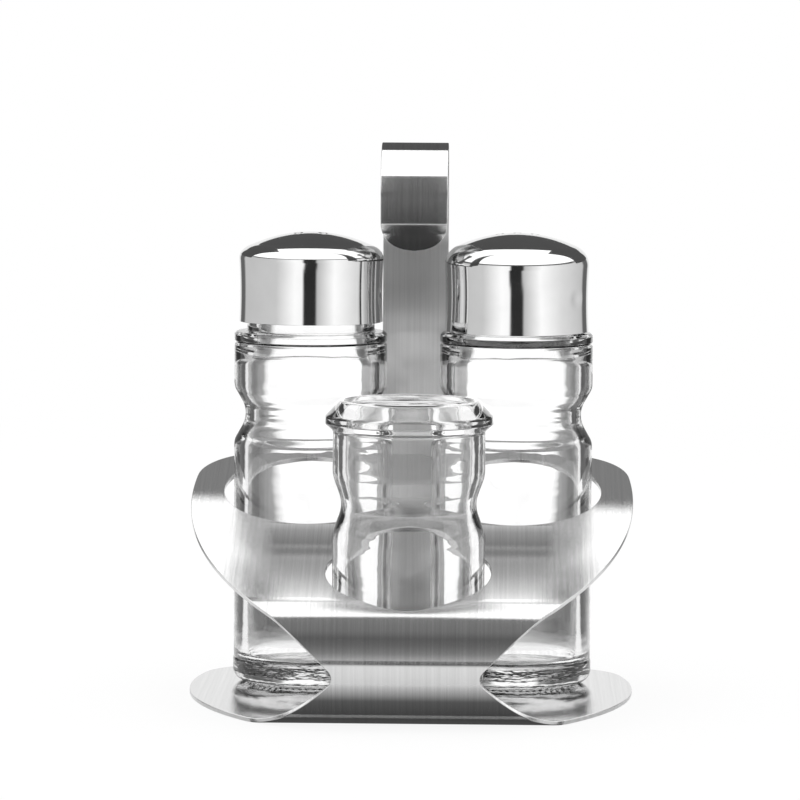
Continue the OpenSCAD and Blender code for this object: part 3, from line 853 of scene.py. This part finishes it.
def clear_glass(name, ripple, foot_ripple):
    """Clear pressed glass with a soft ripple, rougher and grained at its foot."""
    glass = bpy.data.materials.new(name)
    tree, out = shader_tree(glass)
    place = add_node(tree, "TexCoord").outputs["Object"]
    rings = stretched(tree, place, (55, 55, 190))
    waves = add_node(tree, "TexNoise", Vector=rings, Scale=1.0, Detail=2.0).outputs["Fac"]
    seeds = add_node(tree, "TexNoise", Vector=place, Scale=420.0, Detail=1.0).outputs["Fac"]
    surface = add_math(tree, "MULTIPLY_ADD", waves, 1.0)
    tree.links.new(add_math(tree, "MULTIPLY", seeds, 0.05), surface.node.inputs[2])
    height = add_node(tree, "SeparateXYZ", Vector=place).outputs["Z"]
    at_foot = add_node(tree, "MapRange", Value=height, From_Min=foot_grain_full, From_Max=foot_grain_end,
                       To_Min=1.0, To_Max=0.0).outputs[0]
    grain = stretched(tree, place, (240, 240, 700))
    pressed = add_node(tree, "TexNoise", Vector=grain, Scale=1.0, Detail=2.0).outputs["Fac"]
    foot_only = add_math(tree, "MULTIPLY", pressed, at_foot)
    foot_grain = add_math(tree, "MULTIPLY_ADD", foot_only, foot_ripple / ripple)
    tree.links.new(surface, foot_grain.node.inputs[2])
    bump = add_node(tree, "Bump", Height=foot_grain, Strength=0.5, Distance=ripple * mm).outputs[0]
    rough = add_math(tree, "MULTIPLY", at_foot, foot_roughness)
    body = add_node(tree, "BsdfPrincipled", Base_Color=grey(0.985), Roughness=rough, IOR=1.5,
                    Transmission_Weight=1.0, Normal=bump)
    tree.links.new(body.outputs[0], out.inputs["Surface"])
    return glass


shaker_glass_look = clear_glass("pressed_shaker_glass", 0.15, 0.4)
left_dimple_turn = math.radians(80 - 90)
right_dimple_turn = math.radians(56 - 90)
shaker_path = filled_path(rounded_path(shaker_outside + shaker_inside))
for side, turned_by in (("left", left_dimple_turn), ("right", right_dimple_turn)):
    x = (-1 if side == "left" else 1) * shaker_spacing / 2
    glass = turned_piece("pressed_shaker_" + side, shaker_path, (x, shaker_y, foot_z),
                         glass_segments, shaker_change(turned_by))
    glass.data.materials.append(shaker_glass_look)
    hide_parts("shaker_glass_" + side)
    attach(glass, "shaker_" + side)


# Shaker caps
# Drawn from 0.5 mm steel and polished, with a low dome, a slightly waisted
# skirt and two punched dimples that run on the glass thread. The holes are
# punched from outside. The left cap is from another batch with a shorter skirt.
cap_radius = 17.1
cap_metal = 0.5
cap_top = 23.6
cap_gap = 0.4
shorter_skirt = 1.9
lip_drop = 0.08
cap_waist = 0.25
cap_edge_round = 3.4
right_edge_round = 4.7
left_tilt = -0.4
right_tilt = 0.3
cap_dome_rise = 2.9
dimple_height = 8.7
dimple_depth = 0.42
dimple_reach = 2.8
hole_radius = 0.9
hole_spacing = 4.1
dome_disc = 8.0
cap_segments = 256
shoulder_z = sheet_thick + 83.5 * mm

dome_edge_x = cap_radius - cap_edge_round
dome_edge_z = cap_top - cap_dome_rise
dome_radius = (cap_dome_rise ** 2 + dome_edge_x ** 2) / (2 * cap_dome_rise)
dome_half = math.degrees(math.asin(dome_edge_x / dome_radius))


def cap_side(inset, low, round_radius):
    """Half section of the cap's outer or inner face, from its lower edge up to the dome's disc."""
    skirt_high = dome_edge_z - round_radius
    path = []
    steps = 34
    for i in range(steps + 1):
        z = low + (skirt_high - low) * i / steps
        share = (z - cap_gap) / (skirt_high - cap_gap)
        path.append(Vector((cap_radius - inset - cap_waist * 4 * share * (1 - share), z)))
    # The arc of the edge reaches the dome where both lean alike
    lean = math.radians(dome_half)
    edge = []
    for i in range(1, 19):
        turn = (math.pi / 2 - lean) * i / 18
        reach = math.sin(turn) / math.cos(lean)
        across = (1 - math.cos(turn)) / (1 - math.sin(lean))
        out = Vector((math.cos(turn), math.sin(turn)))
        edge.append((cap_radius + (dome_edge_x - cap_radius) * across - inset * out.x,
                     skirt_high + (dome_edge_z - skirt_high) * reach - inset * out.y))
    disc_turn = 90 - math.degrees(math.asin(dome_disc / (dome_radius - inset)))
    dome = arc_points(0, cap_top - dome_radius, dome_radius - inset, 90 - dome_half, disc_turn, 8)[1:]
    return path + [Vector(p) for p in edge + dome]


def dome_height(x, y, inset):
    return cap_top - dome_radius + math.sqrt((dome_radius - inset) ** 2 - x * x - y * y)


def domed_cap(name, centre, low, dimples, holes, round_radius, tilt):
    points, faces, normals = [], [], []

    def add_point(x, y, z):
        points.append((centre[0] + x * mm, centre[1] + y * mm, centre[2] + z * mm))
        return len(points) - 1

    def add_ring(r, z):
        ring = []
        for i in range(cap_segments):
            angle = 2 * math.pi * i / cap_segments
            pushed = 0.0
            for dimple in dimples:
                away = (angle - dimple + math.pi) % (2 * math.pi) - math.pi
                reach = math.hypot(away * r, z - dimple_height)
                if reach < dimple_reach and z < dome_edge_z:
                    pushed += dimple_depth * (0.5 + 0.5 * math.cos(math.pi * reach / dimple_reach))
            ring.append(add_point((r - pushed) * math.cos(angle), (r - pushed) * math.sin(angle), z))
        return ring

    outer = [add_ring(p.x, p.y) for p in cap_side(0, low, round_radius)]
    inner = [add_ring(p.x, p.y) for p in cap_side(cap_metal, low, round_radius)]
    lip = add_ring(cap_radius - cap_metal / 2 - cap_waist * 0.1, low - lip_drop)
    rings = inner[::-1] + [lip] + outer
    for a, b in zip(rings, rings[1:]):
        for i in range(cap_segments):
            j = (i + 1) % cap_segments
            faces.append((a[i], a[j], b[j], b[i]))
    hole_steps = 28
    hole_rings = []
    # Round the edge of every hole: how much wider, and how far below the outer face
    for wider, inset in ((0.14, 0.0), (0.04, 0.06), (0.0, 0.16), (0.0, cap_metal)):
        loops = []
        for hx, hy in holes:
            loop = []
            last_turn = 360 - 360 / hole_steps
            for x, y in arc_points(hx, hy, hole_radius + wider, 0, last_turn, hole_steps - 1):
                loop.append(add_point(x, y, dome_height(x, y, inset)))
            loops.append(loop)
        hole_rings.append(loops)
    for low_loops, high_loops in zip(hole_rings, hole_rings[1:]):
        for a, b in zip(low_loops, high_loops):
            for i in range(hole_steps):
                j = (i + 1) % hole_steps
                faces.append((a[i], a[j], b[j], b[i]))

    def seen_from_above(loop):
        return [(points[i][0] - centre[0], points[i][1] - centre[1]) for i in loop]

    for rim, loops, inset in ((outer[-1], hole_rings[0], 0.0), (inner[-1], hole_rings[-1], cap_metal)):
        extra = []
        for ring in range(1, 10):
            r = dome_disc * ring / 10
            for x, y in arc_points(0, 0, r, 0, 360 - 7.5, 47):
                if not any(math.hypot(x - hx, y - hy) < hole_radius + 0.45 for hx, hy in holes):
                    extra.append((x, y))
        between_holes = [(x * mm, y * mm) for x, y in extra]
        hole_loops = [seen_from_above(loop) for loop in loops]
        triangles, _ = sheet_face(seen_from_above(rim), hole_loops, between_holes)
        place = list(rim) + [i for loop in loops for i in loop]
        place += [add_point(x, y, dome_height(x, y, inset)) for x, y in extra]
        for corners in triangles:
            corners = corners if inset == 0 else corners[::-1]
            faces.append(tuple(place[i] for i in corners))
    middle = Vector(centre)
    lean = Matrix.Rotation(math.radians(tilt), 3, "X")
    points = [middle + lean @ (Vector(point) - middle) for point in points]
    cap = new_piece(name, points, faces)
    cap.data.set_sharp_from_angle(angle=math.radians(45))
    return cap


def polished_steel(name, shade):
    steel = bpy.data.materials.new(name)
    tree, out = shader_tree(steel)
    place = add_node(tree, "TexCoord").outputs["Object"]
    smears = add_node(tree, "TexNoise", Vector=place, Scale=160.0, Detail=4.0).outputs["Fac"]
    spin = stretched(tree, place, (60, 60, 5200))
    turning = add_node(tree, "TexNoise", Vector=spin, Scale=1.0, Detail=2.0).outputs["Fac"]
    colour = add_ramp(tree, smears, [(0.3, shade * 0.97), (0.7, shade * 1.03)])
    rough = add_node(tree, "MapRange", Value=smears, From_Min=0.3, From_Max=0.7,
                     To_Min=0.05, To_Max=0.09).outputs[0]
    bump = add_node(tree, "Bump", Height=turning, Strength=0.05, Distance=0.01 * mm).outputs[0]
    body = add_node(tree, "BsdfPrincipled", Base_Color=colour, Metallic=1.0, Roughness=rough,
                    Normal=bump)
    tree.links.new(body.outputs[0], out.inputs["Surface"])
    return steel


cap_look = polished_steel("polished_cap_steel", 0.70)
left_holes = arc_points(0, 0, hole_spacing, 45, 315, 3)
right_holes = [(hole_spacing * i, 0.0) for i in (-1, 0, 1)]
left_cap_low = cap_gap + shorter_skirt + lip_drop
right_cap_low = cap_gap + lip_drop
for side, turned_by, low, holes, round_radius, tilt in (
    ("left", left_dimple_turn, left_cap_low, left_holes, cap_edge_round, left_tilt),
    ("right", right_dimple_turn, right_cap_low, right_holes, right_edge_round, right_tilt),
):
    x = (-1 if side == "left" else 1) * shaker_spacing / 2
    cap = domed_cap("domed_cap_" + side, (x, shaker_y, shoulder_z), low,
                    [turned_by, turned_by + math.pi], holes, round_radius, tilt)
    cap.data.materials.append(cap_look)
    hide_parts("shaker_cap_" + side)
    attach(cap, "cap_" + side)


# Toothpick glass
# A pressed open glass with a turned-out lip and a finger groove. It stands
# loose on the base in the front hole, just behind the bend.
toothpick_outside = [
    (0, 0.8, 0), (7.4, 0.8, 1.5), (8.2, 0, 0.6), (10.6, 0, 1.0), (15.6, 2.4, 5.0), (17.35, 8.5, 6.0),
    (17.35, 32.5, 20), (17.6, 40.4, 7.0), (14.95, 47.5, 7.0), (17.35, 54.2, 6.0),
    (17.35, 64.4, 1.6), (19.25, 66.0, 0.5), (19.25, 67.8, 1.3), (15.9, 71.3, 1.2), (14.9, 71.3, 0.5),
]
toothpick_inside = [
    (14.45, 70.2, 0.8), (14.45, 54.8, 8.0), (13.0, 47.5, 12), (14.45, 40.2, 8.0), (14.45, 9.5, 5.0),
    (11.5, 6.4, 4.0), (0, 6.8, 0),
]
toothpick_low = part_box("toothpick_glass")
toothpick_y = (toothpick_low[0].y + toothpick_low[1].y) / 2
toothpick_glass = turned_piece(
    "open_toothpick_glass", filled_path(rounded_path(toothpick_outside + toothpick_inside)),
    (0, toothpick_y, foot_z), glass_segments,
)
toothpick_glass.data.materials.append(clear_glass("pressed_toothpick_glass", 0.2, 0.4))
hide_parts("toothpick_glass")
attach(toothpick_glass, "toothpick")
